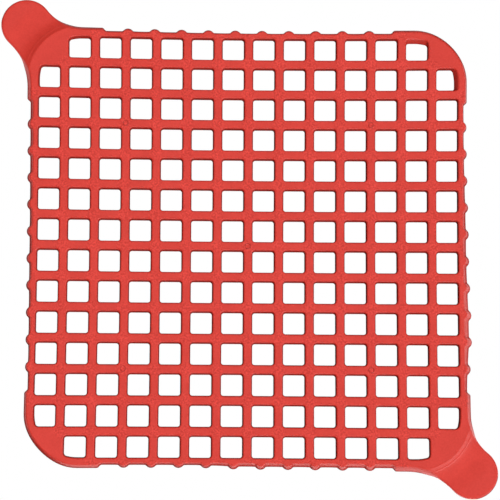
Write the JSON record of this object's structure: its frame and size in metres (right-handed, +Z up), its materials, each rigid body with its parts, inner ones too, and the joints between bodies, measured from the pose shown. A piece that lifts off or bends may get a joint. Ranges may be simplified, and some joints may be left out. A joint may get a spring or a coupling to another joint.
{
  "type": "dish rack hold-down grid",
  "caption": "Soft square grid mat with rounded corners, half-round side grips and a round pull tab on two opposite corners.",
  "frame": {"origin": "centre of the mat on its underside, the plane it rests on", "axes": "+X to the right, +Y to the rear and +Z up; the pull tabs are at the rear left and front right corners"},
  "size_m": [0.5436, 0.5436, 0.0083],
  "materials": {
    "soft_pvc": "satin, faintly mottled"
  },
  "bodies": {
    "mat": {"grid_panel": "soft_pvc", "gate_marks": "soft_pvc", "rear_rim": "soft_pvc", "rear_grips": "soft_pvc", "left_rim": "soft_pvc", "left_grips": "soft_pvc", "front_rim": "soft_pvc", "front_grips": "soft_pvc", "right_rim": "soft_pvc", "right_grips": "soft_pvc"},
    "rear_right_corner": {"rear_right_corner_web": "soft_pvc", "rear_right_corner_rim": "soft_pvc", "rear_right_corner_grips": "soft_pvc"},
    "rear_left_corner": {"rear_left_corner_web": "soft_pvc", "rear_left_corner_rim": "soft_pvc", "rear_left_corner_grips": "soft_pvc", "rear_left_tab_ramp": "soft_pvc"},
    "front_left_corner": {"front_left_corner_web": "soft_pvc", "front_left_corner_rim": "soft_pvc", "front_left_corner_grips": "soft_pvc"},
    "front_right_corner": {"front_right_corner_web": "soft_pvc", "front_right_corner_rim": "soft_pvc", "front_right_corner_grips": "soft_pvc", "front_right_tab_ramp": "soft_pvc"},
    "rear_left_tab": {"rear_left_pull_tab": "soft_pvc"},
    "front_right_tab": {"front_right_pull_tab": "soft_pvc"}
  },
  "joints": [
    {"name": "rear_right_corner_fold", "type": "hinge", "parent": "mat", "child": "rear_right_corner", "pos_m": [0.176, 0.176, 0.008], "axis": [0.7071, -0.7071, 0], "range_deg": [0, 45], "stiffness_Nm_per_rad": 1.2},
    {"name": "rear_left_corner_fold", "type": "hinge", "parent": "mat", "child": "rear_left_corner", "pos_m": [-0.176, 0.176, 0.008], "axis": [0.7071, 0.7071, 0], "range_deg": [0, 45], "stiffness_Nm_per_rad": 1.2},
    {"name": "front_left_corner_fold", "type": "hinge", "parent": "mat", "child": "front_left_corner", "pos_m": [-0.176, -0.176, 0.008], "axis": [-0.7071, 0.7071, 0], "range_deg": [0, 45], "stiffness_Nm_per_rad": 1.2},
    {"name": "front_right_corner_fold", "type": "hinge", "parent": "mat", "child": "front_right_corner", "pos_m": [0.176, -0.176, 0.008], "axis": [-0.7071, -0.7071, 0], "range_deg": [0, 45], "stiffness_Nm_per_rad": 1.2},
    {"name": "rear_left_tab_bend", "type": "hinge", "parent": "rear_left_corner", "child": "rear_left_tab", "pos_m": [-0.23651, 0.23651, 0.0017], "axis": [0.7071, 0.7071, 0], "range_deg": [-60, 80], "stiffness_Nm_per_rad": 0.12},
    {"name": "front_right_tab_bend", "type": "hinge", "parent": "front_right_corner", "child": "front_right_tab", "pos_m": [0.23651, -0.23651, 0.0017], "axis": [-0.7071, -0.7071, 0], "range_deg": [-60, 80], "stiffness_Nm_per_rad": 0.12}
  ]
}
